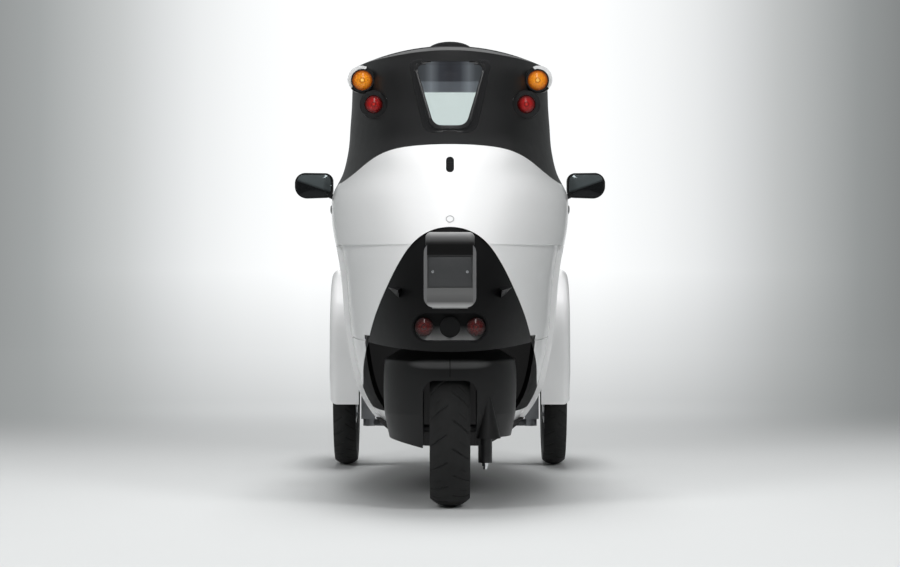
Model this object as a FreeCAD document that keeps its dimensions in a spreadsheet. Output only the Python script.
import FreeCAD, Part
import math
import os
import Sketcher

# A narrow two seat car for the city, with two wheels in front and one that steers behind.
# Millimetres, +Y forward, +X to the driver's right, +Z up, origin on the floor under the middle.

SIZES = {
    # whole car
    "overall_length": 2350,
    "wheelbase": 1700,
    "rear_axle_to_tail": 350,
    "roof_height": 1430,
    "body_half_width": 384,
    "nose_reach": 1040,
    "widest_place": -120,
    "floor_height": 165,
    "wall": 34,
    "roof_wall": 26,
    "quarter_inset": 17,
    "overhang_height": 789,
    "panel_gap": 5,
    "seam": 0.8,
    "fit_gap": 0.3,
    "overrun": 400,
    # roof
    "roof_crown_radius": 690,
    "roof_envelope_half": 500,
    "roof_bump_half_width": 74,
    "roof_bump_length": 300,
    "roof_bump_height": 15,
    "roof_bump_place": -230,
    # glass
    "glass_inset": 3,
    "glass_thickness": 5,
    # doors
    "hinge_out": 309,
    "hinge_ahead": 502.5,
    "door_front": 500,
    "door_reach": 848,
    "door_bottom": 236,
    "door_top": 1312,
    "hinge_low": 700,
    "hinge_high": 850,
    "hinge_barrel_radius": 8,
    "hinge_pin_radius": 4,
    "hinge_knuckle": 14,
    "hinge_play": 0.5,
    "pin_clearance": 0.05,
    "hinge_leaf_length": 34,
    "hinge_leaf_thickness": 4,
    "mirror_out": 468,
    "mirror_place": 350,
    "mirror_height": 997,
    "mirror_half_width": 66,
    "mirror_half_height": 45,
    "mirror_depth": 62,
    "mirror_stalk_radius": 9,
    "mirror_foot_drop": 86,
    # rear shell
    "arch_top": 840,
    "arch_half_width": 272,
    "panel_edge_height": 477,
    "panel_edge_rise": 29,
    "panel_recess": 5,
    "groove_width": 4,
    "groove_depth": 5,
    "vent_height": 1027,
    "vent_half_width": 12,
    "vent_half_height": 24,
    "vent_slat": 2.4,
    "hood_half_width": 71,
    "hood_low": 786,
    "hood_high": 824,
    "hood_back": -1156,
    "hood_round": 15,
    "carrier_half_width": 76,
    "carrier_low": 606,
    "carrier_high": 794,
    "carrier_face": -1171,
    "carrier_round": 30,
    "plate_half_width": 66,
    "plate_half_height": 47,
    "plate_height": 709,
    "plate_pocket": 6,
    "plate_bolt_spacing": 100,
    "plate_bolt_radius": 3,
    "wedge_out": 161,
    "wedge_height": 646,
    "wedge_length": 40,
    "wedge_rise": 34,
    "side_cowl_back": 870,
    "lower_seam_height": 500,
    # rear lamps
    "amber_out": 270,
    "amber_height": 1296,
    "amber_place": -640,
    "amber_radius": 31,
    "red_out": 234,
    "red_height": 1220,
    "red_place": -676,
    "red_radius": 28,
    "lamp_bezel": 8,
    "lamp_depth": 34,
    "lamp_housing_length": 104,
    "pod_radius": 42,
    "pod_length": 130,
    "pod_shift": 4,
    "bezel_depth": 12,
    "red_ring_radius": 43,
    "lamp_dome": 9,
    "tail_lamp_out": 75,
    "tail_lamp_height": 549,
    "tail_lamp_radius": 27,
    "centre_lamp_radius": 29,
    "tail_lamp_pod_half_width": 106,
    "tail_lamp_pod_half_height": 40,
    "tail_lamp_pod_depth": 56,
    "tail_lamp_depth": 24,
    "tail_lamp_pod_wall": 5,
    # front wheels
    "front_track": 750,
    "front_tyre_radius": 275,
    "front_tyre_width": 80,
    "front_rim_radius": 205,
    "front_rim_width": 56,
    "front_motor_radius": 125,
    "front_motor_width": 70,
    "window_gap": 9,
    "axle_radius": 12,
    # rear wheel
    "rear_tyre_radius": 235,
    "rear_tyre_width": 120,
    "rear_rim_radius": 129,
    "rear_rim_width": 84,
    "rear_hub_radius": 42,
    "tyre_wall": 16,
    "rim_wall": 6,
    # front suspension
    "knuckle_in": 272,
    "knuckle_high": 560,
    "knuckle_length": 74,
    "arm_spread": 150,
    "arm_thickness": 26,
    "lower_arm_height": 152,
    "upper_arm_height": 452,
    "ball_out": 292,
    "subframe_half_width": 52,
    "subframe_top": 560,
    "damper_radius": 24,
    "damper_rod_radius": 8,
    # fenders
    "fender_wall": 4,
    "fender_reach": 300,
    "fender_top": 706,
    "fender_back_height": 232,
    "fender_out": 425,
    "fender_in": 322,
    "fender_round": 26,
    "fender_clearance": 12,
    # steered rear end
    "drum_radius": 200,
    "drum_wall": 5,
    "drum_top": 506,
    "drum_bottom": 172,
    "leaf_side_low": 214,
    "leaf_right_low": 216,
    "cone_high": 352,
    "cone_out_low": 114,
    "cone_radius": 36,
    "cone_wall": 4,
    "well_radius": 262,
    "arch_slot_half_width": 80,
    "arch_slot_top": 388,
    "arch_slot_round": 38,
    "steer_shaft_radius": 22,
    "steer_head_radius": 46,
    "steer_head_height": 86,
    "fork_half_width": 78,
    "fork_leg_thickness": 14,
    "fork_leg_width": 62,
    "rear_damper_out": 106,
    "rear_damper_low": 132,
    "rear_damper_high": 396,
    "rear_damper_radius": 21,
    # cabin inside
    "seat_half_width": 175,
    "front_seat_front": 330,
    "front_seat_back": -40,
    "front_cushion_low": 330,
    "front_cushion_high": 420,
    "seat_back_top": 950,
    "seat_back_thickness": 74,
    "seat_lean": 120,
    "rear_seat_front": -165,
    "rear_cushion_high": 432,
    "bulkhead_back": -566,
    "bulkhead_wall": 26,
    "tail_floor_height": 516,
    "front_bulkhead": 716,
    "battery_half_width": 130,
    "battery_front": -120,
    "battery_back": -500,
    "battery_top": 340,
    "steering_wheel_radius": 165,
    "steering_rim_radius": 14,
    "steering_wheel_place": 400,
    "steering_wheel_height": 770,
    "steering_wheel_tilt": 25,
    "column_radius": 20,
    "column_length": 210,
    "dash_back": 590,
    "dash_top": 812,
    "dash_bottom": 650,
    "headlamp_radius": 34,
    "headlamp_out": 165,
    "headlamp_height": 545,
    "headlamp_place": 905,
    "headlamp_length": 70,
}

doc = FreeCAD.newDocument("three_wheeled_car")
sheet = doc.addObject("Spreadsheet::Sheet", "Sizes")
for row, (word, number) in enumerate(SIZES.items(), start=1):
    sheet.set("A%d" % row, word)
    sheet.set("B%d" % row, str(number))
    sheet.setAlias("B%d" % row, word)
doc.recompute()


class Size:
    """A number together with the sheet expression that gives it."""

    def __init__(self, value, text):
        self.value = value
        self.text = text

    def __float__(self):
        return float(self.value)

    def __add__(self, other):
        return Size(float(self) + float(other), "(%s + %s)" % (self.text, words(other)))

    def __radd__(self, other):
        return Size(float(other) + float(self), "(%s + %s)" % (words(other), self.text))

    def __sub__(self, other):
        return Size(float(self) - float(other), "(%s - %s)" % (self.text, words(other)))

    def __rsub__(self, other):
        return Size(float(other) - float(self), "(%s - %s)" % (words(other), self.text))

    def __mul__(self, other):
        return Size(float(self) * float(other), "(%s * %s)" % (self.text, words(other)))

    def __rmul__(self, other):
        return Size(float(other) * float(self), "(%s * %s)" % (words(other), self.text))

    def __truediv__(self, other):
        return Size(float(self) / float(other), "(%s / %s)" % (self.text, words(other)))

    def __neg__(self):
        return Size(-float(self), "(0 - %s)" % self.text)


def words(item):
    """The expression text of a size or of a plain factor."""
    return item.text if isinstance(item, Size) else repr(float(item))


def size(word):
    """The size that the sheet holds under this alias."""
    return Size(float(sheet.get(word)), "Sizes.%s" % word)


class Sheet:
    """Every size of the sheet as an attribute."""

    def __getattr__(self, word):
        return size(word)


S = Sheet()
PIECES = []
X_AXIS = FreeCAD.Vector(1, 0, 0)
Y_AXIS = FreeCAD.Vector(0, 1, 0)
Z_AXIS = FreeCAD.Vector(0, 0, 1)

rear_axle_y = S.rear_axle_to_tail - S.overall_length / 2
front_axle_y = rear_axle_y + S.wheelbase
tail_y = -(S.overall_length / 2)


def vector(x, y, z):
    """A point from sizes or plain numbers."""
    return FreeCAD.Vector(float(x), float(y), float(z))


def finish(item, label):
    """Names a finished sub-part and puts it on the list that is written out."""
    item.Label = label
    PIECES.append(item)
    return item


def feature(label, shape, place=None):
    """A sub-part whose shape comes from surface work."""
    item = doc.addObject("Part::Feature", label)
    item.Shape = shape
    item.Placement = FreeCAD.Placement(place or FreeCAD.Vector(), FreeCAD.Rotation())
    return finish(item, label)


def bind(item, name, value):
    """Ties a property to the sheet."""
    if isinstance(value, Size):
        item.setExpression(name, value.text)
    else:
        setattr(item, name, value)


def primitive(kind, name, place, axis=Z_AXIS, **sizes):
    """A primitive solid with its sizes and its place tied to the sheet."""
    item = doc.addObject(kind, name)
    item.Placement = FreeCAD.Placement(vector(*place), FreeCAD.Rotation(Z_AXIS, axis))
    for word, value in sizes.items():
        bind(item, word, value)
    for letter, value in zip("xyz", place):
        if isinstance(value, Size):
            item.setExpression("Placement.Base.%s" % letter, value.text)
    return item


def join(name, parts):
    """A union of several objects."""
    item = doc.addObject("Part::MultiFuse", name)
    item.Shapes = parts
    return item


def cut(name, base, tool):
    """One object with another cut away."""
    item = doc.addObject("Part::Cut", name)
    item.Base = base
    item.Tool = tool
    return item


def body(name):
    """An empty body."""
    return doc.addObject("PartDesign::Body", name)


def plane(holder, role):
    """One of a body's own origin planes."""
    return next(part for part in holder.Origin.OriginFeatures if part.Role == role)


def sketch(holder, role, outline, name="outline", lift=None):
    """A closed outline whose every corner is tied to the sheet.

    A corner is (u, v), or (u, v, radius, side) where an arc of that radius leads to it,
    bulging to the right of the way there if side is 1 and to the left if it is -1."""
    item = holder.newObject("Sketcher::SketchObject", name)
    item.AttachmentSupport = [(plane(holder, role), "")]
    item.MapMode = "FlatFace"
    if lift is not None:
        item.setExpression("AttachmentOffset.Base.z", lift.text)
    count = len(outline)
    starts = []
    for index, corner in enumerate(outline):
        before = outline[index - 1]
        begin = vector(before[0], before[1], 0)
        end = vector(corner[0], corner[1], 0)
        if len(corner) == 2:
            item.addGeometry(Part.LineSegment(begin, end))
            starts.append((1, 2))
            continue
        radius, side = float(corner[2]), corner[3]
        chord = end - begin
        half = chord.Length / 2
        normal = FreeCAD.Vector(-chord.y, chord.x, 0).normalize()
        rise = radius - math.sqrt(max(radius * radius - half * half, 0))
        middle = (begin + end) * 0.5 - normal * (rise * side)
        item.addGeometry(Part.Arc(begin, middle, end))
        made = item.Geometry[index]
        first = made.StartPoint.distanceToPoint(begin) < made.EndPoint.distanceToPoint(begin)
        starts.append((1, 2) if first else (2, 1))
    for index, corner in enumerate(outline):
        later = (index + 1) % count
        item.addConstraint(Sketcher.Constraint(
            "Coincident", index, starts[index][1], later, starts[later][0]))
        for kind, value in (("DistanceX", corner[0]), ("DistanceY", corner[1])):
            if not isinstance(value, Size):
                axis = -2 if kind == "DistanceX" else -1
                item.addConstraint(Sketcher.Constraint("PointOnObject", index, starts[index][1], axis))
                continue
            number = item.addConstraint(Sketcher.Constraint(
                kind, -1, 1, index, starts[index][1], float(value)))
            item.setExpression("Constraints[%d]" % number, value.text)
        if len(corner) > 2:
            number = item.addConstraint(Sketcher.Constraint("Radius", index, float(corner[2])))
            item.setExpression("Constraints[%d]" % number, corner[2].text)
    return item


def revolution(label, outline, place):
    """A solid turned about a line along X through its place.

    The outline is drawn as (distance from the line, place along the line)."""
    holder = body(label)
    drawing = sketch(holder, "XZ_Plane", outline)
    turned = holder.newObject("PartDesign::Revolution", "turned")
    turned.Profile = drawing
    turned.ReferenceAxis = (drawing, ["V_Axis"])
    turned.Angle = 360
    holder.Placement = FreeCAD.Placement(vector(*place), FreeCAD.Rotation(Y_AXIS, 90))
    for letter, value in zip("xyz", place):
        if isinstance(value, Size):
            holder.setExpression("Placement.Base.%s" % letter, value.text)
    return holder


# Surface work: the body's outer skin is one loft through level sections.

# Every row: height as a share of the roof's, then the value there. Half widths are shares of the
# body's, front ends of the nose's reach, rear ends of the tail's; squareness is a section's power.
WIDTH_SHARES = (
    (0.1154, 0.391), (0.140, 0.536), (0.175, 0.660), (0.231, 0.776), (0.336, 0.865), (0.420, 0.898),
    (0.490, 0.922), (0.545, 0.958), (0.594, 0.992), (0.629, 1.002), (0.657, 0.997), (0.699, 0.930),
    (0.741, 0.875), (0.783, 0.849), (0.895, 0.823), (0.965, 0.797), (1.049, 0.755),
)
FRONT_SHARES = (
    (0.1154, 0.615), (0.161, 0.745), (0.231, 0.870), (0.315, 0.947), (0.420, 1.000), (0.490, 0.979),
    (0.559, 0.899), (0.615, 0.810), (0.804, 0.524), (1.000, 0.178), (1.049, 0.096),
)
REAR_SHARES = (
    (0.1154, 0.545), (0.161, 0.681), (0.231, 0.860), (0.315, 0.970), (0.420, 0.997), (0.490, 0.986),
    (0.552, 0.951), (0.601, 0.915), (0.657, 0.864), (0.706, 0.813), (0.741, 0.766), (0.762, 0.728),
    (0.780, 0.702), (0.804, 0.684), (0.839, 0.665), (0.951, 0.614), (1.049, 0.566),
)
FRONT_SQUARENESS = ((0.1154, 2.0), (0.629, 2.05), (0.804, 2.3), (1.049, 2.4))
REAR_SQUARENESS = ((0.1154, 2.2), (0.699, 2.2), (0.804, 2.8), (1.049, 3.0))
STATION_SHARES = (
    0.1154, 0.142, 0.178, 0.226, 0.280, 0.350, 0.420, 0.483, 0.540, 0.590, 0.630, 0.665, 0.699,
    0.734, 0.762, 0.790, 0.832, 0.881, 0.937, 0.993, 1.049,
)


def smooth_value(table, place):
    """The value at a place on a smooth curve that never overshoots its table."""
    count = len(table)
    spans = [table[index + 1][0] - table[index][0] for index in range(count - 1)]
    slopes = [(table[index + 1][1] - table[index][1]) / spans[index] for index in range(count - 1)]
    leans = [slopes[0]]
    for index in range(1, count - 1):
        before, after = slopes[index - 1], slopes[index]
        leans.append(0.0 if before * after <= 0 else 2 * before * after / (before + after))
    leans.append(slopes[-1])
    index = max(0, min(count - 2, sum(1 for row in table[1:] if row[0] < place)))
    share = (place - table[index][0]) / spans[index]
    rest = 1 - share
    return (table[index][1] * (1 + 2 * share) * rest * rest
            + table[index + 1][1] * share * share * (1 + 2 * rest)
            + spans[index] * share * rest * (leans[index] * rest - leans[index + 1] * share))


SECTION_STEPS = 5


def level_section(height, half, front, back, waist, front_power, back_power):
    """A closed level curve, as wide as half on both sides and pointed as its powers say."""
    def corner(turn, power, reach):
        across = max(math.cos(turn), 0.0) ** (2 / power)
        along = max(math.sin(turn), 0.0) ** (2 / power)
        return half * across, waist + (reach - waist) * along
    right = []
    for step in range(SECTION_STEPS, 0, -1):
        right.append(corner(math.pi / 2 * step / SECTION_STEPS, front_power, front))
    for step in range(SECTION_STEPS + 1):
        right.append(corner(math.pi / 2 * step / SECTION_STEPS, back_power, back))
    right[0] = (0.0, front)
    right[-1] = (0.0, back)
    left = [(-across, along) for across, along in right[-2:0:-1]]
    points = [FreeCAD.Vector(across, along, height) for across, along in right + left]
    curve = Part.BSplineCurve()
    knots = [index / len(points) for index in range(len(points) + 1)]
    curve.interpolate(Points=points, PeriodicFlag=True, Parameters=knots)
    return Part.Wire([curve.toShape()])


def body_loft(depth, pinch=0):
    """The body's outer form, drawn in by depth on every side and at the bottom, by pinch only in width."""
    depth = float(depth)
    sections = []
    for index, up in enumerate(STATION_SHARES):
        height = up * float(S.roof_height) + (depth if index == 0 else 0)
        sections.append(level_section(
            height, smooth_value(WIDTH_SHARES, up) * float(S.body_half_width) - depth - float(pinch),
            smooth_value(FRONT_SHARES, up) * float(S.nose_reach) - depth,
            smooth_value(REAR_SHARES, up) * float(tail_y) + depth,
            float(S.widest_place), smooth_value(FRONT_SQUARENESS, up), smooth_value(REAR_SQUARENESS, up)))
    return Part.makeLoft(sections, True, False, False, 3)


# The roof's line in side view: place as a share of the tail's reach, height of the roof's.
ROOF_SHARES = (
    (-1.10, 0.800), (-0.85, 0.905), (-0.60, 0.968), (-0.42, 0.988), (-0.13, 1.000),
    (0.085, 0.995), (0.255, 0.968), (0.51, 0.900), (1.10, 0.700),
)


def roof_envelope(depth):
    """What lies under the crowned roof, lowered by depth."""
    half = float(S.roof_envelope_half)
    radius = float(S.roof_crown_radius)
    sag = radius - math.sqrt(radius * radius - half * half)
    sections = []
    for along, up in ROOF_SHARES:
        place = along * float(-tail_y)
        top = up * float(S.roof_height) - float(depth)
        left = FreeCAD.Vector(-half, place, top - sag)
        crown = FreeCAD.Vector(0, place, top)
        right = FreeCAD.Vector(half, place, top - sag)
        foot_left = FreeCAD.Vector(-half, place, 0)
        foot_right = FreeCAD.Vector(half, place, 0)
        sections.append(Part.Wire([
            Part.Arc(left, crown, right).toShape(),
            Part.LineSegment(right, foot_right).toShape(),
            Part.LineSegment(foot_right, foot_left).toShape(),
            Part.LineSegment(foot_left, left).toShape()]))
    return Part.makeLoft(sections, True, False, False, 3)


def block(low, high):
    """A box between two corners."""
    low, high = vector(*low), vector(*high)
    span = high - low
    return Part.makeBox(span.x, span.y, span.z, low)


def rounded_wire(points, radius):
    """A closed outline with its corners rounded, a corner's own radius being its third number."""
    count = len(points)
    ends = []
    for index, point in enumerate(points):
        here = FreeCAD.Vector(float(point[0]), float(point[1]), 0)
        before = points[index - 1]
        after = points[(index + 1) % count]
        back = (FreeCAD.Vector(float(before[0]), float(before[1]), 0) - here).normalize()
        ahead = (FreeCAD.Vector(float(after[0]), float(after[1]), 0) - here).normalize()
        turn = back.getAngle(ahead)
        curve = float(point[2]) if len(point) > 2 else float(radius)
        reach = curve / math.tan(turn / 2)
        heart = here + (back + ahead).normalize() * (curve / math.sin(turn / 2))
        middle = heart + (here - heart).normalize() * curve
        ends.append((here + back * reach, middle, here + ahead * reach))
    edges = []
    for index, (first, middle, last) in enumerate(ends):
        edges.append(Part.Arc(first, middle, last).toShape())
        edges.append(Part.LineSegment(last, ends[(index + 1) % count][0]).toShape())
    return Part.Wire(edges)


def spline_wire(points):
    """A closed outline: a smooth curve through the points and a straight line back."""
    places = [FreeCAD.Vector(float(across), float(up), 0) for across, up in points]
    curve = Part.BSplineCurve()
    curve.interpolate(places)
    return Part.Wire([curve.toShape(), Part.LineSegment(places[-1], places[0]).toShape()])


def prism(wire, view, low, high, inset=0):
    """An outline pushed through between low and high along the way it is seen.

    A side outline is (along, up), a rear outline (across, up), a top outline (across, along)."""
    if inset:
        wire = wire.makeOffset2D(-float(inset))
    turns = {
        "side": FreeCAD.Matrix(0, 0, 1, 0, 1, 0, 0, 0, 0, 1, 0, 0, 0, 0, 0, 1),
        "rear": FreeCAD.Matrix(1, 0, 0, 0, 0, 0, 1, 0, 0, 1, 0, 0, 0, 0, 0, 1),
        "top": FreeCAD.Matrix(),
    }
    pushes = {"side": X_AXIS, "rear": Y_AXIS, "top": Z_AXIS}
    face = Part.Face(wire).transformGeometry(turns[view])
    push = pushes[view]
    face.translate(push * float(low))
    return face.extrude(push * (float(high) - float(low)))


def mirrored(shape):
    """A shape's twin on the other side of the car."""
    return shape.mirror(FreeCAD.Vector(), X_AXIS)


def both(shape):
    """A shape and its twin, as one shape of separate solids."""
    return Part.makeCompound(shape.Solids + mirrored(shape).Solids)


def pole(radius, low, high):
    """A round bar between two points."""
    low, high = vector(*low), vector(*high)
    span = high - low
    return Part.makeCylinder(float(radius), span.Length, low, span)


far = S.overall_length
roof_line = roof_envelope(0)
outer = body_loft(0).common(roof_line)
outer_quarter = body_loft(0, S.quarter_inset)
inner = body_loft(S.wall).common(roof_envelope(S.roof_wall))
inner_clear = body_loft(S.wall + S.fit_gap).common(roof_envelope(S.roof_wall + S.fit_gap))
shell = outer.cut(inner)
quarter_shell = outer_quarter.cut(inner)
glass_shell = body_loft(S.glass_inset).cut(body_loft(S.glass_inset + S.glass_thickness))

# Door outline in side view, from the sill round to the front pillar.
# Each row: place as a share of the door's front, height as a share of its top, corner radius share.
DOOR_SHARES = (
    (-1.6, 0.180, 0.02), (0.84, 0.180, 0.10), (1.0, 0.433, 0.30), (1.0, 0.659, 0.06),
    (0.880, 0.755, 0.04), (0.655, 0.845, 0.30), (0.270, 1.0, 0.10), (-1.6, 1.0, 0.02),
)
# The waistline between the white panel and the black window frame, from behind forward.
WAIST_SHARES = ((-2.4, 0.761), (-0.70, 0.750), (0.2, 0.721), (1.0, 0.688), (1.5, 0.672), (2.4, 0.660))
# The side window, inside the door outline.
WINDOW_SHARES = (
    (-0.60, 0.799), (0.81, 0.738, 0.03), (0.605, 0.838, 0.30), (0.245, 0.960), (-0.60, 0.960),
)
WINDOW_ROUND_SHARE = 0.06


def door_outline():
    """The door's outline in side view, straight behind, where the reach ends it."""
    return rounded_wire([(S.door_front * along, S.door_top * up, S.door_front * curve)
                         for along, up, curve in DOOR_SHARES], S.door_front * 0.02)


def window_outline():
    """The side window's outline in side view."""
    corners = [(S.door_front * row[0], S.door_top * row[1]) + tuple(S.door_front * curve for curve in row[2:])
               for row in WINDOW_SHARES]
    return rounded_wire(corners, S.door_front * WINDOW_ROUND_SHARE)


def waist_cut():
    """Everything above the waistline."""
    points = [FreeCAD.Vector(float(S.door_front) * along, float(S.door_top) * up, 0)
              for along, up in WAIST_SHARES]
    curve = Part.BSplineCurve()
    curve.interpolate(points)
    above = float(S.roof_height) + float(S.overrun)
    first = FreeCAD.Vector(points[0].x, above, 0)
    last = FreeCAD.Vector(points[-1].x, above, 0)
    return Part.Wire([curve.toShape(), Part.LineSegment(points[-1], last).toShape(),
                      Part.LineSegment(last, first).toShape(),
                      Part.LineSegment(first, points[0]).toShape()])


door_swing = Part.makeCylinder(float(S.door_reach), float(far), vector(S.hinge_out, S.hinge_ahead, 0))
door_hole_swing = Part.makeCylinder(float(S.door_reach + S.panel_gap), float(far),
                                    vector(S.hinge_out, S.hinge_ahead, 0))
door_hole = prism(door_outline(), "side", S.fit_gap, far).common(door_hole_swing)
door_holes = door_hole.fuse(mirrored(door_hole))
door_body = prism(door_outline(), "side", S.fit_gap, far, S.panel_gap).common(door_swing)
door_blank = shell.common(door_body)
window_hole = prism(window_outline(), "side", S.fit_gap, far)
above_waist = prism(waist_cut(), "side", -far, far)
fixed_shell = shell.cut(door_holes)

# Doors: white panel, black window frame, pane, hinge halves and mirror.


def hinge_levels():
    """The middle heights of a door's two hinges."""
    return (S.hinge_low, S.hinge_high)


def hinge_relief(level):
    """The room round one hinge, the same for door and body."""
    half = S.hinge_knuckle * 1.5 + S.panel_gap
    return Part.makeCylinder(float(S.hinge_barrel_radius + S.panel_gap), float(half * 2),
                             vector(S.hinge_out, S.hinge_ahead, level - half))


def hinge_leaf(level, half, direction):
    """A flat leaf from the barrel into the panel, ahead of the line or behind it."""
    thick = S.hinge_leaf_thickness
    near = S.hinge_ahead
    away = near + S.hinge_leaf_length * direction
    leaf_low, leaf_high = min(float(near), float(away)), max(float(near), float(away))
    barrel_side = S.hinge_out - S.hinge_barrel_radius
    return block((barrel_side - thick, leaf_low, level - half),
                 (barrel_side + thick / 2, leaf_high, level + half))


def leaf_pocket(level):
    """The pocket in the body for the two leaves of one hinge."""
    half = S.hinge_knuckle * 1.5 + S.hinge_play + S.fit_gap
    thick = S.hinge_leaf_thickness
    barrel_side = S.hinge_out - S.hinge_barrel_radius
    return block((barrel_side - thick - S.fit_gap, S.hinge_ahead, level - half),
                 (S.body_half_width, S.hinge_ahead + S.hinge_leaf_length + S.fit_gap, level + half))


def door_hinge_eye(level):
    """The middle knuckle, which belongs to the door."""
    half = S.hinge_knuckle / 2
    barrel = Part.makeCylinder(float(S.hinge_barrel_radius), float(S.hinge_knuckle),
                               vector(S.hinge_out, S.hinge_ahead, level - half))
    leaf = hinge_leaf(level, half, -1)
    bore = Part.makeCylinder(float(S.hinge_pin_radius + S.pin_clearance), float(far),
                             vector(S.hinge_out, S.hinge_ahead, 0))
    return barrel.fuse(leaf).cut(bore)


def body_hinge(level):
    """The two outer knuckles, the pin and their leaves, which belong to the body."""
    parts = []
    inner_half = S.hinge_knuckle / 2 + S.hinge_play
    for side in (-1, 1):
        middle = level + (inner_half + S.hinge_knuckle / 2) * side
        half = S.hinge_knuckle / 2
        parts.append(Part.makeCylinder(float(S.hinge_barrel_radius), float(S.hinge_knuckle),
                                       vector(S.hinge_out, S.hinge_ahead, middle - half)))
        parts.append(hinge_leaf(middle, half, 1))
    reach = S.hinge_knuckle * 1.5 + S.hinge_play
    pin = Part.makeCylinder(float(S.hinge_pin_radius), float(reach * 2),
                            vector(S.hinge_out, S.hinge_ahead, level - reach))
    return pin.multiFuse(parts)


def door_panels():
    """Panel, frame and pane of the right door, with the mirror on its front corner."""
    low = door_blank.cut(above_waist)
    high = door_blank.common(above_waist).cut(window_hole)
    for level in hinge_levels():
        low = low.cut(hinge_relief(level)).fuse(door_hinge_eye(level))
    pane = glass_shell.common(prism(window_outline(), "side", S.fit_gap, far, S.fit_gap))
    return low, high, pane


def mirror_solid():
    """A rounded mirror housing on a short stalk from the door's shoulder."""
    half_across = S.mirror_half_width
    half_up = S.mirror_half_height
    outline = rounded_wire([
        (S.mirror_out - half_across, S.mirror_height - half_up * 0.90, half_up * 0.55),
        (S.mirror_out + half_across, S.mirror_height - half_up, half_up * 0.92),
        (S.mirror_out + half_across, S.mirror_height + half_up, half_up * 0.80),
        (S.mirror_out - half_across, S.mirror_height + half_up * 0.96, half_up * 0.62)], half_up * 0.5)
    head = prism(outline, "rear", S.mirror_place, S.mirror_place + S.mirror_depth)
    front_edges = [edge for edge in head.Edges
                   if abs(edge.CenterOfMass.y - float(S.mirror_place + S.mirror_depth)) < float(S.fit_gap)]
    head = head.makeFillet(float(half_up * 0.4), front_edges)
    foot = (S.hinge_out - S.wall * 0.5, S.mirror_place + S.mirror_depth, S.mirror_height - S.mirror_foot_drop)
    tip = (S.mirror_out - half_across * 0.6, S.mirror_place + S.mirror_depth * 0.6,
           S.mirror_height - half_up * 0.6)
    stalk = pole(S.mirror_stalk_radius, foot, tip)
    return head.fuse(stalk)


door_low, door_high, door_pane = door_panels()
mirror = mirror_solid().cut(body_loft(-S.fit_gap))
for side, turn in (("right", lambda shape: shape), ("left", mirrored)):
    feature("door_panel_" + side, turn(door_low))
    feature("door_frame_" + side, turn(door_high))
    feature("door_glass_" + side, turn(door_pane))
    feature("mirror_" + side, turn(mirror))

# Fixed shell, from the top down.
WINDSCREEN_SHARES = ((-0.70, 0.640), (0.70, 0.640), (0.62, 0.945), (-0.62, 0.945))
REAR_WINDOW_SHARES = ((-0.156, 0.795), (0.156, 0.795), (0.307, 0.943), (-0.307, 0.943))
ROOF_PANEL_SHARES = ((-0.60, -0.50), (0.60, -0.50), (0.58, 0.05), (-0.58, 0.05))
WHITE_EDGE_SHARES = (
    (-1.10, 0.800), (-0.725, 0.762), (-0.60, 0.725), (-0.50, 0.700), (-0.25, 0.690), (0.2, 0.684),
)
ARCH_SHARES = (
    (1.240, 0.330), (1.090, 0.368), (1.010, 0.415), (0.985, 0.480), (0.915, 0.583),
    (0.835, 0.673), (0.699, 0.780), (0.533, 0.885), (0.316, 0.968), (0.0, 1.0),
)
NOSE_SHARES = ((-0.90, 0.66), (0.90, 0.66), (0.80, 0.53), (0.42, 0.41), (-0.42, 0.41), (-0.80, 0.53))


def scaled(shares, across, up):
    """An outline from a table of shares."""
    return [(across * one, up * two) for one, two in shares]


def white_edge_cut():
    """Everything above the rear shell's top edge."""
    points = [FreeCAD.Vector(float(-tail_y) * along, float(S.roof_height) * up, 0)
              for along, up in WHITE_EDGE_SHARES]
    curve = Part.BSplineCurve()
    curve.interpolate(points)
    above = float(S.roof_height) + float(S.overrun)
    first = FreeCAD.Vector(points[0].x, above, 0)
    last = FreeCAD.Vector(points[-1].x, above, 0)
    return prism(Part.Wire([curve.toShape(), Part.LineSegment(points[-1], last).toShape(),
                            Part.LineSegment(last, first).toShape(),
                            Part.LineSegment(first, points[0]).toShape()]), "side", -far, far)


def arch_wire():
    """The black arch in the tail, in rear view."""
    right = [(S.arch_half_width * across, S.arch_top * up) for across, up in ARCH_SHARES]
    left = [(-across, up) for across, up in right[-2::-1]]
    return spline_wire(right + left)


windscreen_wire = rounded_wire(scaled(WINDSCREEN_SHARES, S.body_half_width, S.roof_height),
                               S.body_half_width * 0.12)
rear_window_wire = rounded_wire(scaled(REAR_WINDOW_SHARES, S.body_half_width, S.roof_height),
                                S.body_half_width * 0.10)
roof_panel_wire = rounded_wire(scaled(ROOF_PANEL_SHARES, S.body_half_width, -tail_y),
                               S.body_half_width * 0.20)
nose_wire = rounded_wire(scaled(NOSE_SHARES, S.body_half_width, S.roof_height),
                         S.body_half_width * 0.16)
above_white = white_edge_cut()
behind_right = block((0, -far, 0), (far, 0, far)).cut(door_hole_swing)
behind = behind_right.fuse(mirrored(behind_right))
well = Part.makeCylinder(float(S.well_radius), float(S.tail_floor_height), vector(0, rear_axle_y, 0))


def pod_solid(grow, back):
    """The lamp pod on the roof's corner: a round bar from a place behind, tapered in front."""
    across, up = S.amber_out + S.pod_shift, S.amber_height + S.pod_shift
    shoulder = S.amber_place + S.pod_length / 2
    tip = S.amber_place + S.pod_length
    radius = S.pod_radius + grow
    bar = pole(radius, (across, back, up), (across, shoulder, up))
    cone_root = vector(across, shoulder, up)
    cone = Part.makeCone(float(radius), float(radius / 4), float(tip - shoulder), cone_root, Y_AXIS)
    return bar.fuse(cone)


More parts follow.
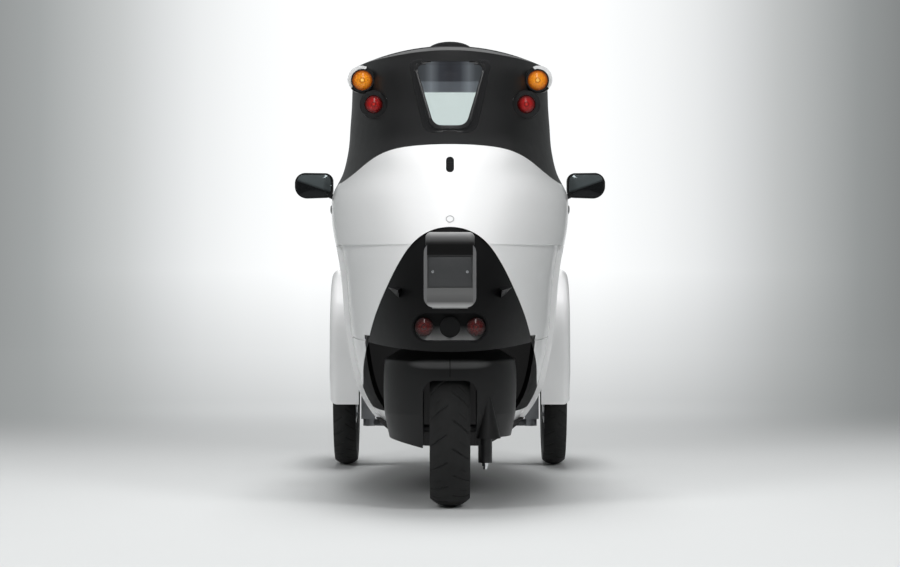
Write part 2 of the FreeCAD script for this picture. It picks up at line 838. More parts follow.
def lamp_bezel(place, radius, ring_radius, depth):
    """A black ring round a lamp, with a blind cup behind the lens."""
    across, along, up = place
    back = along + S.lamp_depth + S.fit_gap
    ring = pole(ring_radius, (across, along - S.lamp_dome / 3, up), (across, along + depth, up))
    cup = pole(radius + S.lamp_bezel / 2, (across, along, up), (across, back + S.lamp_bezel / 2, up))
    room = pole(radius + S.fit_gap, (across, along - S.overrun, up), (across, back, up))
    return ring.fuse(cup).cut(room)


def lamp_hole(place, radius, depth):
    """The round hole for a ring or a cup, open to the rear."""
    across, along, up = place
    return pole(radius, (across, along - S.overrun, up), (across, along + depth, up))


amber_spot = (S.amber_out, S.amber_place, S.amber_height)
red_spot = (S.red_out, S.red_place, S.red_height)
amber_bezel = lamp_bezel(amber_spot, S.amber_radius, S.amber_radius + S.lamp_bezel / 2, S.bezel_depth)
red_bezel = lamp_bezel(red_spot, S.red_radius, S.red_ring_radius, S.lamp_housing_length)
amber_cup_hole = lamp_hole(amber_spot, S.amber_radius + S.lamp_bezel / 2 + S.fit_gap,
                           S.lamp_depth + S.lamp_bezel / 2 + S.fit_gap * 2)
roof_panel = shell.common(prism(roof_panel_wire, "top", 0, far, S.seam / 2)).common(
    block((-far, -far, S.roof_height * 0.90), (far, far, far)))


def roof_bump():
    """The low dome on the middle of the roof."""
    dome = Part.makeSphere(1.0)
    scale = FreeCAD.Matrix()
    scale.scale(float(S.roof_bump_half_width), float(S.roof_bump_length / 2), float(S.roof_bump_height * 2))
    dome = dome.transformGeometry(scale)
    dome.translate(vector(0, S.roof_bump_place, S.roof_height - S.roof_bump_height))
    return dome


feature("roof_panel", roof_panel.fuse(roof_bump()))

roof_hole = prism(roof_panel_wire, "top", S.roof_height * 0.90, far, -S.seam / 2)
windscreen_hole = prism(windscreen_wire, "rear", 0, far)
rear_window_hole = prism(rear_window_wire, "rear", -far, 0)
cab_side = above_waist.cut(behind)
cabin_frame = fixed_shell.common(cab_side).cut(roof_hole).cut(windscreen_hole)
feature("cabin_frame", cabin_frame)

windscreen = glass_shell.common(prism(windscreen_wire, "rear", 0, far, S.fit_gap)).common(roof_envelope(0))
feature("windscreen", windscreen)

rear_panel = shell.common(above_white).common(behind).cut(roof_hole).cut(rear_window_hole)
red_holes = both(lamp_hole(red_spot, S.red_ring_radius + S.fit_gap, S.overrun / 2))
pod_holes = both(pod_solid(S.fit_gap, S.amber_place - S.overrun))
rear_panel = rear_panel.cut(pod_holes).cut(red_holes)
feature("rear_cabin_panel", rear_panel)
rear_window = glass_shell.common(prism(rear_window_wire, "rear", -far, 0, S.fit_gap))
feature("rear_window", rear_window)

arch = prism(arch_wire(), "rear", -far, -S.overrun / 2)
overhang = block((-far, -far, S.overhang_height), (far, far, far))
tail_shell = shell.common(overhang).fuse(quarter_shell.cut(overhang)).common(behind).cut(above_white)
white_tail = tail_shell.cut(arch).cut(block((-far, -far, 0), (far, far, S.door_bottom + S.seam)))
groove = block((-far, -far, S.lower_seam_height - S.groove_width / 2),
               (far, 0, S.lower_seam_height + S.groove_width / 2))
white_tail = white_tail.cut(groove.cut(body_loft(S.groove_depth, S.quarter_inset))).cut(well)


def vent_wire(grow):
    """The oval outline of the small vent high on the tail, in rear view."""
    half, rise = S.vent_half_width + grow, S.vent_half_height + grow
    low, high = S.vent_height - rise, S.vent_height + rise
    return rounded_wire([(-half, low), (half, low), (half, high), (-half, high)], half * 0.96)


def vent_solid():
    """Slats and a middle bar inside a thin oval rim, all following the shell's slope."""
    skin = body_loft(S.groove_depth / 2).cut(body_loft(S.groove_depth * 2))
    zone = skin.common(prism(vent_wire(-S.fit_gap), "rear", -far, 0))
    rim = zone.cut(prism(vent_wire(-S.vent_slat), "rear", -far, 0))
    count = int(float(S.vent_half_height * 2) // float(S.vent_slat * 3))
    bars = [block((-S.vent_slat / 2, -far, 0), (S.vent_slat / 2, 0, far))]
    for index in range(1, count):
        level = S.vent_height - S.vent_half_height + S.vent_half_height * 2 / count * index
        bars.append(block((-far, -far, level - S.vent_slat / 2), (far, 0, level + S.vent_slat / 2)))
    return rim.fuse(zone.common(bars[0].multiFuse(bars[1:]))).removeSplitter()


white_tail = white_tail.cut(prism(vent_wire(0), "rear", -far, 0))
pods = both(pod_solid(0, S.amber_place + S.bezel_depth).cut(amber_cup_hole).cut(inner))
feature("rear_body_shell", Part.makeCompound(white_tail.Solids + pods.Solids))
bezels = both(Part.makeCompound([amber_bezel, red_bezel]))
feature("rear_trim", Part.makeCompound(bezels.Solids + vent_solid().Solids))

# The black panel in the arch, set back a little behind the white edge.
recessed = body_loft(S.panel_recess).cut(inner)
arch_room = prism(arch_wire(), "rear", -far, -S.overrun / 2, S.seam)
edge_half = S.arch_half_width * 1.2
edge_points = [(-edge_half, S.panel_edge_height + S.panel_edge_rise * 1.2),
               (-edge_half / 2, S.panel_edge_height + S.panel_edge_rise * 0.3), (0, S.panel_edge_height),
               (edge_half / 2, S.panel_edge_height + S.panel_edge_rise * 0.3),
               (edge_half, S.panel_edge_height + S.panel_edge_rise * 1.2)]


def panel_edge_wire(drop):
    """Everything above the black panel's curved lower edge, in rear view."""
    curve = Part.BSplineCurve()
    curve.interpolate([vector(across, up - drop, 0) for across, up in edge_points])
    corners = [vector(edge_half, S.roof_height, 0), vector(-edge_half, S.roof_height, 0)]
    first, last = curve.StartPoint, curve.EndPoint
    return Part.Wire([curve.toShape(), Part.LineSegment(last, corners[0]).toShape(),
                      Part.LineSegment(corners[0], corners[1]).toShape(),
                      Part.LineSegment(corners[1], first).toShape()])


above_panel_edge = prism(panel_edge_wire(0), "rear", -far, 0)
plate_panel = recessed.common(arch_room).common(above_panel_edge).common(behind)


def lamp_tray_wire():
    """The oval round the two tail lamps, in rear view."""
    half, rise = S.tail_lamp_pod_half_width, S.tail_lamp_pod_half_height
    low, high = S.tail_lamp_height - rise, S.tail_lamp_height + rise
    return rounded_wire([(-half, low), (half, low), (half, high), (-half, high)], rise * 0.98)


tray_floor = tail_y + S.tail_lamp_pod_depth + S.tail_lamp_pod_wall
tray = prism(lamp_tray_wire(), "rear", tail_y + S.wall, tray_floor + S.tail_lamp_pod_wall,
             -S.tail_lamp_pod_wall)
tray_room = prism(lamp_tray_wire(), "rear", -far, tray_floor)


def upright_pad(half, low, high, radius, back, front):
    """A rounded pad that stands upright, between two places along the car."""
    wire = rounded_wire([(-half, low), (half, low), (half, high), (-half, high)], radius)
    return prism(wire, "rear", back, front)


def hood_solid():
    """The small hood over the number plate, round at the top and flat below."""
    hood = block((-S.hood_half_width, S.hood_back, S.hood_low),
                 (S.hood_half_width, tail_y + S.overrun / 4, S.hood_high))
    edges = [edge for edge in hood.Edges
             if abs(edge.CenterOfMass.y - float(S.hood_back)) < float(S.fit_gap)
             and edge.CenterOfMass.z > float(S.hood_low + S.fit_gap)]
    sides = [edge for edge in hood.Edges
             if abs(edge.CenterOfMass.z - float(S.hood_high)) < float(S.fit_gap)
             and abs(edge.CenterOfMass.x) > float(S.hood_half_width - S.fit_gap)]
    return hood.makeFillet(float(S.hood_round), edges + sides)


def wedge_solid():
    """One of the two small three-sided bumps beside the plate."""
    tip = tail_y + S.wedge_length / 2
    base = [(S.wedge_out - S.wedge_length / 2, S.wedge_height + S.wedge_rise / 2),
            (S.wedge_out + S.wedge_length / 2, S.wedge_height + S.wedge_rise / 2),
            (S.wedge_out - S.wedge_length / 3, S.wedge_height - S.wedge_rise / 2)]
    wire = Part.makePolygon([vector(across, tail_y + S.overrun / 4, up) for across, up in base + base[:1]])
    peak = Part.Vertex(vector(S.wedge_out - S.wedge_length / 4, tip, S.wedge_height + S.wedge_rise / 4))
    return Part.makeLoft([wire, peak], True)


carrier_back = tail_y + S.wall * 1.6
carrier = upright_pad(S.carrier_half_width, S.carrier_low, S.carrier_high, S.carrier_round,
                      S.carrier_face, carrier_back)
pocket = upright_pad(S.plate_half_width, S.plate_height - S.plate_half_height,
                     S.plate_height + S.plate_half_height, S.fender_wall,
                     -far, S.carrier_face + S.plate_pocket)
bolt_out = S.plate_bolt_spacing / 2
bolts = [pole(S.plate_bolt_radius, (bolt_out * sign, S.carrier_face, S.plate_height),
              (bolt_out * sign, S.carrier_face + S.wall / 2, S.plate_height)) for sign in (-1, 1)]
wedge = wedge_solid()
plate_panel = plate_panel.multiFuse([carrier, hood_solid(), wedge, mirrored(wedge)]).cut(inner)
plate_panel = plate_panel.fuse(tray).cut(tray_room).cut(pocket).cut(bolts[0]).cut(bolts[1])
boss = pole(S.centre_lamp_radius, (0, tray_floor - S.tail_lamp_depth, S.tail_lamp_height),
            (0, tray_floor + S.fit_gap, S.tail_lamp_height))
plate_panel = plate_panel.fuse(boss)
feature("plate_panel", plate_panel.removeSplitter())

below_panel_edge = prism(panel_edge_wire(S.groove_width), "rear", -far, 0)
cowl_room = block((-far, -S.side_cowl_back, S.door_bottom + S.seam), (far, 0, S.roof_height / 2))
side_cowls = quarter_shell.common(arch_room).common(cowl_room).cut(below_panel_edge).common(behind).cut(well)
feature("side_cowls", Part.makeCompound(side_cowls.Solids))

# Front shell, below the waist and above the sill.
sill_top = S.door_bottom
front_shell = fixed_shell.common(block((-far, 0, sill_top + S.seam), (far, far, far))).cut(above_waist)

# Floor, bulkheads, tail floor and the steering head in one tub.
bulkhead_front = S.bulkhead_back + S.bulkhead_wall
tail_floor_top = S.tail_floor_height + S.bulkhead_wall
front_wall_face = S.front_bulkhead + S.bulkhead_wall
nose_back = S.door_front + S.panel_gap


def rear_wall(low, high):
    """The bulkhead behind the rear seat as a plain block between two heights."""
    return block((-far, S.bulkhead_back, low), (far, bulkhead_front, high))


def front_wall(low, high):
    """The wall behind the front suspension as a plain block between two heights."""
    return block((-far, S.front_bulkhead, low), (far, front_wall_face, high))


def tub_loft(depth, low, high):
    """The lowest part of the body's form between two heights, drawn in by depth."""
    sections = []
    for share in (0.0, 0.5, 1.0):
        height = low + (high - low) * share
        up = float(height) / float(S.roof_height)
        sections.append(level_section(
            float(height), smooth_value(WIDTH_SHARES, up) * float(S.body_half_width) - float(depth),
            smooth_value(FRONT_SHARES, up) * float(S.nose_reach) - float(depth),
            smooth_value(REAR_SHARES, up) * float(tail_y) + float(depth),
            float(S.widest_place), smooth_value(FRONT_SQUARENESS, up), smooth_value(REAR_SQUARENESS, up)))
    return Part.makeLoft(sections, True, False, False, 3)


tub_room = tub_loft(S.wall, S.floor_height + S.wall, sill_top + S.wall / 2)
tub_core = tub_loft(S.wall / 2, S.floor_height + S.wall / 2, sill_top)
behind_bulkhead = block((-far, -far, 0), (far, S.bulkhead_back, far))
tub = tub_loft(0, S.floor_height, sill_top).cut(behind_bulkhead).cut(tub_room)
for wall in (rear_wall(S.floor_height, sill_top), front_wall(S.floor_height, sill_top)):
    tub = tub.fuse(tub_core.common(wall))
tray_block = block((-S.tail_lamp_pod_half_width - S.wall, -far, 0),
                   (S.tail_lamp_pod_half_width + S.wall, tray_floor + S.tail_lamp_pod_wall + S.fit_gap, far))
tail_floor = block((-far, -far, S.tail_floor_height), (far, S.bulkhead_back, tail_floor_top)).cut(tray_block)
upper_rear = inner_clear.common(rear_wall(sill_top, tail_floor_top)).fuse(inner_clear.common(tail_floor))
tub = tub.fuse(upper_rear).fuse(inner_clear.common(front_wall(sill_top, S.dash_bottom)))
suspension_reach = S.arm_spread * 0.7
suspension_room = block((-far, front_axle_y - suspension_reach, 0),
                        (far, front_axle_y + suspension_reach, S.upper_arm_height + S.arm_thickness))
head_top = tail_floor_top + S.steer_head_height
head_tube = pole(S.steer_head_radius, (0, rear_axle_y, tail_floor_top), (0, rear_axle_y, head_top))
head_bore = pole(S.steer_shaft_radius + S.pin_clearance, (0, rear_axle_y, S.floor_height),
                 (0, rear_axle_y, far))
feature("floor_pan", tub.fuse(head_tube).cut(head_bore).cut(suspension_room))

# Front end.
ledge_low = sill_top + S.fit_gap
ledge_high = ledge_low + S.wall * 2
nose_prism = prism(nose_wire, "rear", 0, far)
nose = front_shell.common(nose_prism)
mask = front_shell.cut(prism(nose_wire, "rear", 0, far, -S.seam)).cut(suspension_room)
for level in hinge_levels():
    for room in (hinge_relief(level), leaf_pocket(level)):
        nose = nose.cut(room).cut(mirrored(room))
        mask = mask.cut(room).cut(mirrored(room))
ledge_room = block((-S.subframe_half_width - S.fit_gap, nose_back, ledge_low - S.fit_gap),
                   (S.subframe_half_width + S.fit_gap, front_axle_y, ledge_high + S.fit_gap))
tower_room = block(
    (-S.subframe_half_width - S.fit_gap, front_axle_y - suspension_reach, 0),
    (S.subframe_half_width + S.fit_gap, front_axle_y + suspension_reach, S.subframe_top + S.fit_gap))
mask = mask.cut(ledge_room).cut(tower_room)
headlamp_hole = pole(S.headlamp_radius + S.fit_gap, (S.headlamp_out, 0, S.headlamp_height),
                     (S.headlamp_out, far, S.headlamp_height))
mask = mask.cut(headlamp_hole).cut(mirrored(headlamp_hole))
feature("nose_panel", nose)
feature("front_mask", mask)
hinges = Part.makeCompound([body_hinge(level) for level in hinge_levels()])
feature("door_hinges", both(hinges))


# Wheels: tyres, rims with hub motors in front, plain hub behind.


TYRE_CROWN_SHARE = 0.42
FRONT_WINDOW_COUNT = 12
REAR_WINDOW_COUNT = 7


def tyre(label, place, radius, width, seat):
    """A tyre with a round crown, whose bead sits on the rim's seat."""
    half = width / 2
    crown = half * TYRE_CROWN_SHARE
    shoulder = radius - crown
    crown_radius = half * ((1 + TYRE_CROWN_SHARE * TYRE_CROWN_SHARE) / (2 * TYRE_CROWN_SHARE))
    bead = seat + S.fit_gap
    outline = [
        (bead, -half * 0.62),
        (bead + S.tyre_wall, -half * 0.88),
        (shoulder, -half),
        (shoulder, half, crown_radius, 1),
        (bead + S.tyre_wall, half * 0.88),
        (bead, half * 0.62),
    ]
    return finish(revolution(label, outline, place), label)


def web_windows(name, place, inside, outside, count):
    """Round windows through a wheel's web, evenly spaced."""
    middle = (inside + outside) / 2
    windows = []
    for index in range(count):
        turn = 2 * math.pi * index / count
        spot = (place[0] - S.rim_wall * 3, place[1] + middle * math.cos(turn),
                place[2] + middle * math.sin(turn))
        windows.append(primitive("Part::Cylinder", "%s_window_%d" % (name, index), spot, X_AXIS,
                                 Radius=(outside - inside) / 2, Height=S.rim_wall * 6))
    return join(name + "_windows", windows)


def rim(label, place, seat, width, hub_radius, hub_width, bore, count):
    """A rim with a windowed web and a drum-shaped hub bored for its axle."""
    half = width / 2
    web = S.rim_wall
    outline = [
        (bore, -hub_width / 2),
        (hub_radius, -hub_width / 2),
        (hub_radius, -web),
        (seat - web * 2, -web),
        (seat - web * 2, -half + web),
        (seat - web, -half),
        (seat, -half),
        (seat, half),
        (seat - web, half),
        (seat - web * 2, half - web),
        (seat - web * 2, web),
        (hub_radius, web),
        (hub_radius, hub_width / 2),
        (bore, hub_width / 2),
    ]
    turned = revolution(label + "_disc", outline, place)
    windows = web_windows(label, place, hub_radius + S.window_gap, seat - web * 2 - S.window_gap, count)
    return finish(cut(label, turned, windows), label)


axle_bore = S.axle_radius + S.pin_clearance
for side, sign in (("right", 1), ("left", -1)):
    centre = (S.front_track / 2 * sign, front_axle_y, S.front_tyre_radius)
    tyre("front_tyre_" + side, centre, S.front_tyre_radius, S.front_tyre_width, S.front_rim_radius)
    rim("front_rim_" + side, centre, S.front_rim_radius, S.front_rim_width,
        S.front_motor_radius, S.front_motor_width, axle_bore, FRONT_WINDOW_COUNT)
rear_centre = (0 * S.wall, rear_axle_y, S.rear_tyre_radius)
tyre("rear_tyre", rear_centre, S.rear_tyre_radius, S.rear_tyre_width, S.rear_rim_radius)
rim("rear_rim", rear_centre, S.rear_rim_radius, S.rear_rim_width,
    S.rear_hub_radius, S.rear_tyre_width * 0.9, axle_bore, REAR_WINDOW_COUNT)

# Fenders over the front tyres.
FENDER_SHARES = (
    (-1.0, 0.0), (-1.0, 0.42), (-0.86, 0.74), (-0.50, 0.93), (-0.05, 1.0), (0.42, 0.95),
    (0.80, 0.76), (0.98, 0.47), (0.93, 0.28),
)


def fender_side():
    """The right fender: a tall hollow hood, open below and towards the wheel."""
    low = S.fender_back_height
    rise = S.fender_top - low
    reach = S.fender_reach
    crest = [(front_axle_y + reach * along, low + rise * up) for along, up in FENDER_SHARES]
    wire = spline_wire(crest)
    solid = fender_block(wire, 0, S.fender_round)
    room = fender_block(wire, S.fender_wall, S.fender_round - S.fender_wall)
    radius = S.front_tyre_radius + S.fender_clearance
    wheel_room = Part.makeCylinder(float(radius), float(far),
                                   vector(S.fender_in - S.overrun, front_axle_y, S.front_tyre_radius), X_AXIS)
    return solid.cut(room).cut(wheel_room)


def fender_block(wire, depth, round_radius):
    """The fender's form drawn in by depth, its outer edge rounded."""
    outside = S.fender_out - depth
    solid = prism(wire, "side", S.fender_in + depth, outside, depth)
    edges = [edge for edge in solid.Edges if abs(edge.CenterOfMass.x - float(outside)) < float(S.fit_gap)
             and edge.Length > float(S.fender_reach)]
    return solid.makeFillet(float(round_radius), edges)


fender = fender_side()
for side, turn in (("right", lambda shape: shape), ("left", mirrored)):
    feature("front_fender_" + side, turn(fender))

# Front suspension: a central tower, two arms and a damper on each side, and the knuckles.
arm_barrel_radius = S.arm_thickness * 0.75
arm_in = S.subframe_half_width + arm_barrel_radius + S.fit_gap


def arm_solid(height):
    """A two-legged arm from the tower to the knuckle's ball joint."""
    thick = S.arm_thickness
    outer_end = (S.ball_out, front_axle_y, height)
    legs = []
    for sign in (-1, 1):
        inner_end = (arm_in, front_axle_y + S.arm_spread / 2 * sign, height)
        legs.append(pole(thick / 2, inner_end, outer_end))
        legs.append(Part.makeCylinder(float(arm_barrel_radius), float(thick * 1.3),
                                      vector(arm_in, inner_end[1] - thick * 0.65, height), Y_AXIS))
    ball = Part.makeCylinder(float(thick * 0.9), float(thick),
                             vector(S.ball_out, front_axle_y, height - thick / 2))
    return legs[0].multiFuse(legs[1:] + [ball])


def knuckle_solid():
    """The upright between the ball joints, with the wheel's axle."""
    half = S.knuckle_length / 2
    face = S.fender_in - S.fit_gap
    clear = S.arm_thickness / 2 + S.fit_gap
    upright = block((S.knuckle_in, front_axle_y - half, S.lower_arm_height + clear),
                    (face, front_axle_y + half, S.upper_arm_height - clear))
    top = block((S.ball_out + S.arm_thickness, front_axle_y - half, S.lower_arm_height + clear),
                (face, front_axle_y + half, S.knuckle_high))
    axle_length = S.front_track / 2 + S.front_motor_width / 2 - S.knuckle_in
    axle = Part.makeCylinder(float(S.axle_radius), float(axle_length),
                             vector(S.knuckle_in, front_axle_y, S.front_tyre_radius), X_AXIS)
    return upright.multiFuse([axle, top])


arms = [arm_solid(height) for height in (S.lower_arm_height, S.upper_arm_height)]
feature("suspension_arms", both(Part.makeCompound(arms)))
feature("knuckles", both(knuckle_solid()))

tower_low = S.lower_arm_height - S.arm_thickness
tower = block((-S.subframe_half_width, front_axle_y - S.arm_spread * 0.62, tower_low),
              (S.subframe_half_width, front_axle_y + S.arm_spread * 0.62, S.subframe_top))
ledge = block((-S.subframe_half_width, front_wall_face, ledge_low),
              (S.subframe_half_width, front_axle_y, ledge_high))
tower_middle = float(tower_low + S.subframe_top) / 2
posts = [edge for edge in tower.Edges if abs(edge.CenterOfMass.z - tower_middle) < float(S.fit_gap)]
feature("front_subframe", tower.makeFillet(float(S.subframe_half_width * 0.3), posts).fuse(ledge))


def damper_solid():
    """A damper from the lower arm up to an eye on the tower's side."""
    low = (S.ball_out * 0.72, front_axle_y, S.lower_arm_height + S.arm_thickness * 1.5)
    eye_radius = S.damper_radius * 0.8
    high = (S.subframe_half_width + S.fit_gap + S.damper_radius, front_axle_y,
            S.subframe_top - S.damper_radius * 4.6)
    middle = tuple(one * 0.45 + two * 0.55 for one, two in zip(low, high))
    eye = pole(eye_radius, (S.subframe_half_width + S.fit_gap, front_axle_y, high[2]),
               (S.subframe_half_width + S.damper_radius * 2, front_axle_y, high[2]))
    return pole(S.damper_radius, middle, high).multiFuse([pole(S.damper_rod_radius, low, middle), eye])


feature("front_dampers", both(damper_solid()))

# Steered rear end: drum cowl, shaft and fork turn about one upright line over the axle.
# The cowl's side, from the lower lip up: radius and height as shares, and how far each piece bulges.
DRUM_SHARES = (
    (0.86, 0.0, 0.0), (0.985, 0.34, 0.010), (1.0, 0.62, 0.004), (0.985, 0.796, 0.004), (0.950, 0.830, 0.012),
)
CAP_SHARES = ((0.80, 0.886), (0.50, 0.975), (0.0, 1.0))


def drum_side(depth):
    """The cowl's turned solid, drawn in by depth."""
    rise = S.drum_top - S.drum_bottom
    radius = S.drum_radius
    rows = [(FreeCAD.Vector(float(radius * out - depth), 0, float(S.drum_bottom + rise * up)), bulge)
            for out, up, bulge in DRUM_SHARES]
    edges = []
    for (first, _), (last, bulge) in zip(rows, rows[1:]):
        normal = FreeCAD.Vector(last.z - first.z, 0, first.x - last.x).normalize()
        middle = (first + last) * 0.5 + normal * float(radius * bulge)
        edges.append(Part.Arc(first, middle, last).toShape())
    cap = [FreeCAD.Vector(float(radius) * out, 0, float(S.drum_bottom + rise * up - depth))
           for out, up in CAP_SHARES]
    corners = [rows[-1][0]] + cap + [FreeCAD.Vector(0, 0, rows[0][0].z), rows[0][0]]
    edges += [Part.LineSegment(first, last).toShape() for first, last in zip(corners, corners[1:])]
    solid = Part.Face(Part.Wire(edges)).revolve(FreeCAD.Vector(), Z_AXIS, 360)
    solid.translate(vector(0, rear_axle_y, 0))
    return solid


def drum_solid():
    """The cowl round the rear wheel: a thin turned drum, open below, with an arch cut behind and before."""
    drum = drum_side(0).cut(drum_side(S.drum_wall))
    slot = prism(rounded_wire([
        (-S.arch_slot_half_width, 0, S.arch_slot_round / 2),
        (S.arch_slot_half_width, 0, S.arch_slot_round / 2),
        (S.arch_slot_half_width, S.arch_slot_top), (-S.arch_slot_half_width, S.arch_slot_top)],
        S.arch_slot_round), "rear", -far, far)
    ahead = block((-far, rear_axle_y + S.drum_radius * 0.45, 0), (far, far, S.arch_slot_top))
    half = S.drum_radius * 1.1
    left_foot = prism(Part.makePolygon([vector(*spot) for spot in (
        (-half, S.drum_bottom - half, 0), (0, S.drum_bottom - half, 0), (0, S.drum_bottom - S.drum_wall, 0),
        (-half, S.leaf_side_low + S.drum_wall, 0), (-half, S.drum_bottom - half, 0))]), "rear", -far, far)
    right_foot = block((0, -far, 0), (far, far, S.leaf_right_low))
    shaft_hole = pole(S.steer_shaft_radius + S.fit_gap, (0, rear_axle_y, 0), (0, rear_axle_y, far))
    return drum.cut(slot).cut(ahead).cut(left_foot).cut(right_foot).cut(shaft_hole)


def cone_moulding():
    """The raised cone moulding on the cowl's right leaf, behind the damper."""
    behind_axle = S.drum_radius * 0.78
    cone = Part.makeCone(float(S.cone_radius), float(S.cone_wall), float(S.cone_high - S.leaf_right_low),
                         vector(S.cone_out_low, rear_axle_y - behind_axle, S.leaf_right_low), Z_AXIS)
    slot_side = block((0, -far, 0), (S.arch_slot_half_width + S.fit_gap, far, far))
    return cone.cut(drum_side(S.drum_wall)).cut(slot_side)


drum = drum_solid()
feature("rear_cowl", drum.fuse(cone_moulding()))


bridge_low = S.rear_tyre_radius * 2 + S.panel_gap * 1.6
bridge_high = S.drum_bottom + (S.drum_top - S.drum_bottom) * CAP_SHARES[1][1] - S.drum_wall - S.fit_gap * 2
parts = [
    primitive("Part::Cylinder", "steer_shaft", (0, rear_axle_y, bridge_low), Radius=S.steer_shaft_radius,
              Height=head_top - bridge_low),
    primitive("Part::Box", "fork_bridge",
              (-(S.fork_half_width + S.fork_leg_thickness), rear_axle_y - S.fork_leg_width / 2, bridge_low),
              Length=(S.fork_half_width + S.fork_leg_thickness) * 2, Width=S.fork_leg_width,
              Height=bridge_high - bridge_low),
]
leg_low = S.rear_tyre_radius - S.axle_radius * 4
for sign, word in ((1, "right"), (-1, "left")):
    start = S.fork_half_width if sign > 0 else -(S.fork_half_width + S.fork_leg_thickness)
    parts.append(primitive("Part::Box", "fork_leg_" + word, (start, rear_axle_y - S.fork_leg_width / 2, leg_low),
                           Length=S.fork_leg_thickness, Width=S.fork_leg_width,
                           Height=bridge_low - leg_low + S.fit_gap))
parts.append(primitive("Part::Cylinder", "rear_axle",
                       (-(S.fork_half_width + S.fork_leg_thickness), rear_axle_y, S.rear_tyre_radius),
                       X_AXIS, Radius=S.axle_radius, Height=(S.fork_half_width + S.fork_leg_thickness) * 2))
parts.append(primitive("Part::Cylinder", "rear_damper", (S.rear_damper_out, rear_axle_y, S.rear_damper_low),
                       Radius=S.rear_damper_radius, Height=S.rear_damper_high - S.rear_damper_low))
finish(join("rear_fork", parts), "rear_fork")

# Lamps.


def lenses(places, radius, depth):
    """Round lamps that face back, each a low dome on a short barrel."""
    solids = []
    for across, along, up in places:
        barrel = pole(radius, (across, along, up), (across, along + depth, up))
        ball_radius = (radius * float(radius) + S.lamp_dome * float(S.lamp_dome)) / (S.lamp_dome * 2)
        ball = Part.makeSphere(float(ball_radius), vector(across, along + ball_radius - S.lamp_dome, up))
        cap = ball.common(pole(radius, (across, along - S.lamp_dome * 2, up), (across, along, up)))
        solids.append(barrel.fuse(cap).removeSplitter())
    return Part.makeCompound(solids)


def headlamp_solid():
    """A round headlamp whose domed glass looks forward."""
    place = (S.headlamp_out, S.headlamp_place, S.headlamp_height)
    lamp = lenses([place], S.headlamp_radius, S.headlamp_length / 2).Solids[0]
    turned = lamp.mirror(vector(*place), Y_AXIS)
    behind_lamp = (S.headlamp_out, S.headlamp_place - S.headlamp_length, S.headlamp_height)
    back = pole(S.headlamp_radius, behind_lamp, place)
    return turned.fuse(back)


def pair(place):
    """A place and its twin."""
    across, along, up = place
    return [(across, along, up), (-across, along, up)]


feature("amber_lamps", lenses(pair(amber_spot), S.amber_radius, S.lamp_depth))
tail_lamp_face = tray_floor - S.fit_gap - S.tail_lamp_depth
high_lamps = lenses(pair(red_spot), S.red_radius, S.lamp_depth)
low_spots = pair((S.tail_lamp_out, tail_lamp_face, S.tail_lamp_height))
low_lamps = lenses(low_spots, S.tail_lamp_radius, S.tail_lamp_depth)
feature("red_lamps", Part.makeCompound(high_lamps.Solids + low_lamps.Solids))

feature("headlamps", both(headlamp_solid()))

# Inside the cabin.


def seat(label, front, back, low, high):
    """A cushion and its back rest as one soft form that leans back above the bulkhead."""
    thick = S.seat_back_thickness
    kink = tail_floor_top + thick * 0.16
    wire = rounded_wire([
        (front, low), (front, high), (back, high, thick * 0.3), (back, kink, thick),
        (back - S.seat_lean, S.seat_back_top), (back - S.seat_lean - thick * 0.7, S.seat_back_top),
        (back - thick, kink, thick), (back - thick, low)], thick * 0.3)
    feature(label, prism(wire, "side", -S.seat_half_width, S.seat_half_width))


battery_low = S.floor_height + S.wall + S.fit_gap
finish(primitive("Part::Box", "battery_block", (-S.battery_half_width, S.battery_back, battery_low),
                 Length=S.battery_half_width * 2, Width=S.battery_front - S.battery_back,
                 Height=S.battery_top - battery_low), "battery_block")
finish(primitive("Part::Box", "front_seat_box", (-S.battery_half_width, S.front_seat_back, battery_low),
                 Length=S.battery_half_width * 2, Width=(S.front_seat_front - S.front_seat_back) * 0.8,
                 Height=S.front_cushion_low - S.fit_gap - battery_low), "front_seat_box")
seat("front_seat", S.front_seat_front, S.front_seat_back, S.front_cushion_low, S.front_cushion_high)
seat("rear_seat", S.rear_seat_front, bulkhead_front + S.seat_back_thickness + S.fit_gap,
     S.battery_top + S.fit_gap, S.rear_cushion_high)

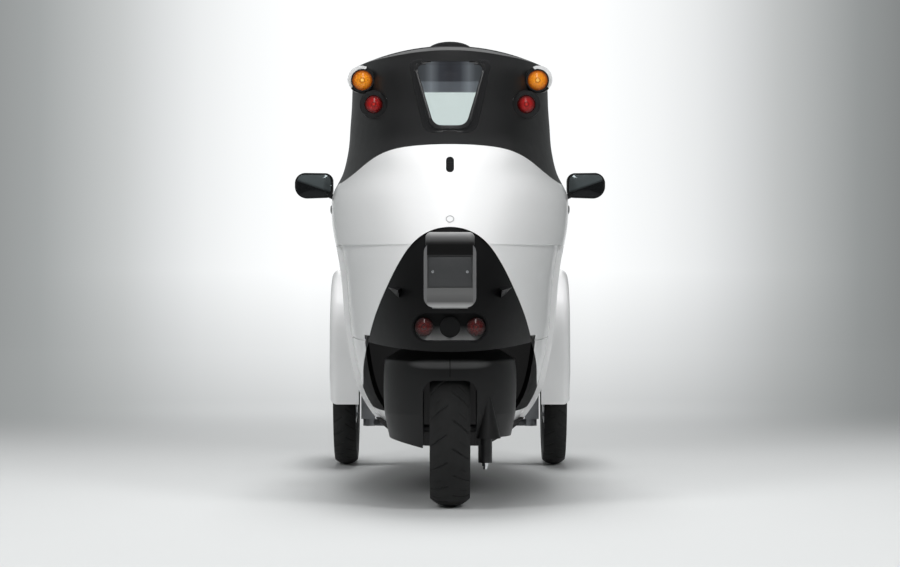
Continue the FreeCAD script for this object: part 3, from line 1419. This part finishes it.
dash_wire = rounded_wire([
    (S.dash_back, S.dash_bottom), (S.front_bulkhead + S.bulkhead_wall, S.dash_bottom),
    (S.front_bulkhead + S.bulkhead_wall * 2, S.dash_top), (S.dash_back + S.wall, S.dash_top)], S.wall * 0.4)
dashboard = inner_clear.common(prism(dash_wire, "side", -far, far))
tilt = math.radians(float(S.steering_wheel_tilt))
wheel_axis = FreeCAD.Vector(0, -math.cos(tilt), math.sin(tilt))
wheel_place = vector(0, S.steering_wheel_place, S.steering_wheel_height)
column_root = wheel_place - wheel_axis * float(S.column_length + S.column_radius * 2)
column_top = wheel_place - wheel_axis * float(S.column_radius * 1.6)
column = Part.makeCylinder(float(S.column_radius), (column_top - column_root).Length, column_root, wheel_axis)
feature("dashboard", dashboard.cut(column))
shaft = Part.makeCylinder(float(S.column_radius * 0.5), float(S.column_radius * 3),
                          wheel_place - wheel_axis * float(S.column_radius * 3), wheel_axis)
shaft_room = Part.makeCylinder(float(S.column_radius * 0.5 + S.pin_clearance), float(S.column_radius * 4),
                               wheel_place - wheel_axis * float(S.column_radius * 3.2), wheel_axis)
feature("steering_column", column.cut(shaft_room))
ring = Part.makeTorus(float(S.steering_wheel_radius), float(S.steering_rim_radius), wheel_place, wheel_axis)
hub = Part.makeCylinder(float(S.column_radius * 2), float(S.column_radius * 2.2),
                        wheel_place - wheel_axis * float(S.column_radius * 1.2), wheel_axis)
spoke = block((-S.steering_wheel_radius, -S.column_radius * 0.7, -S.column_radius * 0.3),
              (S.steering_wheel_radius, S.column_radius * 0.7, S.column_radius * 0.3))
spoke.Placement = FreeCAD.Placement(wheel_place, FreeCAD.Rotation(Z_AXIS, wheel_axis))
feature("steering_wheel", ring.multiFuse([hub, spoke, shaft]))

doc.recompute()
labels = [piece.Label for piece in PIECES]
assert len(labels) == len(set(labels)), "two sub-parts share a name"
for item in doc.Objects:
    assert not {"Invalid", "Error"} & set(item.State), item.Label
os.makedirs("parts", exist_ok=True)
unsound = [piece.Label for piece in PIECES
           if piece.Shape.isNull() or not piece.Shape.isValid() or not piece.Shape.Solids]
assert not unsound, unsound
for piece in PIECES:
    piece.Shape.exportStep("parts/%s.step" % piece.Label)
print(len(PIECES), "sub-parts written")
